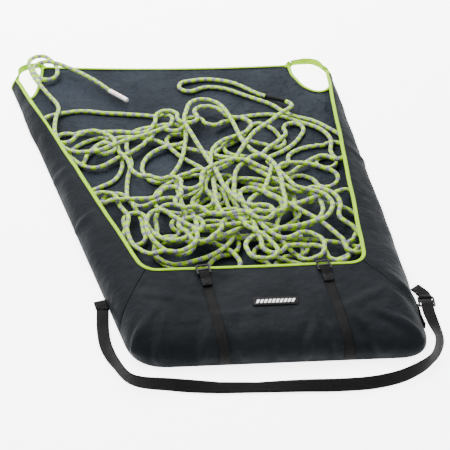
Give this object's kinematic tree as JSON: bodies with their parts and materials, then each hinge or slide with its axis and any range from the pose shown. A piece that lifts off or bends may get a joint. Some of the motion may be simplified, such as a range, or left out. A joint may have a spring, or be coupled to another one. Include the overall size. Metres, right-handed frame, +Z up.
{
  "type": "rope storage bag",
  "caption": "Soft tarp-style rope bag lying open: low walls, front pocket, bound edges, corner tape loops, strap buckles, a shoulder strap and a flaked rope inside.",
  "frame": {"origin": "on the ground, under the middle of the floor tarp", "axes": "+Z up from the ground, +Y from the pocket's front edge to the bag's far edge, +X to the right seen from the pocket"},
  "size_m": [0.8937, 1.1259, 0.0695],
  "materials": {
    "shell": "coated dark slate fabric, matte",
    "floor": "coated slate tarp fabric, low sheen",
    "binding": "lime grosgrain tape",
    "webbing": "black webbing",
    "plastic": "black moulded plastic, glossy",
    "label": "black printed patch, satin",
    "rope": "lime and lavender-grey braided sheath",
    "sleeve": "white heat-shrink sleeve"
  },
  "bodies": {
    "bag": {"base_tarp": "floor", "left_wall": "shell", "front_pocket": "shell", "right_wall": "shell", "mouth_binding": "binding", "left_wall_end_binding": "binding", "right_wall_end_binding": "binding", "far_edge_binding": "binding", "left_cutout_binding": "binding", "right_cutout_binding": "binding", "left_corner_loop": "binding", "left_compression_strap": "webbing", "right_compression_strap": "webbing", "label_patch": "label", "left_strap_root": "webbing", "right_strap_root": "webbing", "rope_pile": "rope", "rope_lead": "rope", "rope_tail": "rope", "rope_bight": "rope", "rope_knot_ring": "rope", "rope_end_sleeve": "sleeve"},
    "left_buckle": {"left_buckle": "plastic"},
    "right_buckle": {"right_buckle": "plastic"},
    "right_corner_loop": {"right_corner_loop": "binding"},
    "shoulder_strap": {"shoulder_strap": "webbing", "strap_adjuster": "plastic"},
    "strap_tail": {"strap_tail": "webbing"}
  },
  "joints": [
    {"name": "left_buckle_hinge", "type": "hinge", "parent": "bag", "child": "left_buckle", "pos_m": [-0.042, -0.32502, 0.0649], "axis": [0.9878, 0.1557, 0.0002], "range_deg": [0, 120]},
    {"name": "right_buckle_hinge", "type": "hinge", "parent": "bag", "child": "right_buckle", "pos_m": [0.197, -0.32458, 0.0649], "axis": [0.9897, 0.143, 0.0001], "range_deg": [0, 120]},
    {"name": "right_loop_hinge", "type": "hinge", "parent": "bag", "child": "right_corner_loop", "pos_m": [0.20971, 0.50139, 0.009], "axis": [0.7519, -0.623, 0.2156], "range_deg": [0, 90]},
    {"name": "shoulder_strap_hinge", "type": "hinge", "parent": "bag", "child": "shoulder_strap", "pos_m": [0.397, -0.357, 0.005], "axis": [-1, 0, 0], "range_deg": [0, 120]},
    {"name": "strap_tail_hinge", "type": "hinge", "parent": "shoulder_strap", "child": "strap_tail", "pos_m": [0.37633, -0.3831, 0.0079], "axis": [-1, 0, 0], "range_deg": [0, 60]}
  ]
}
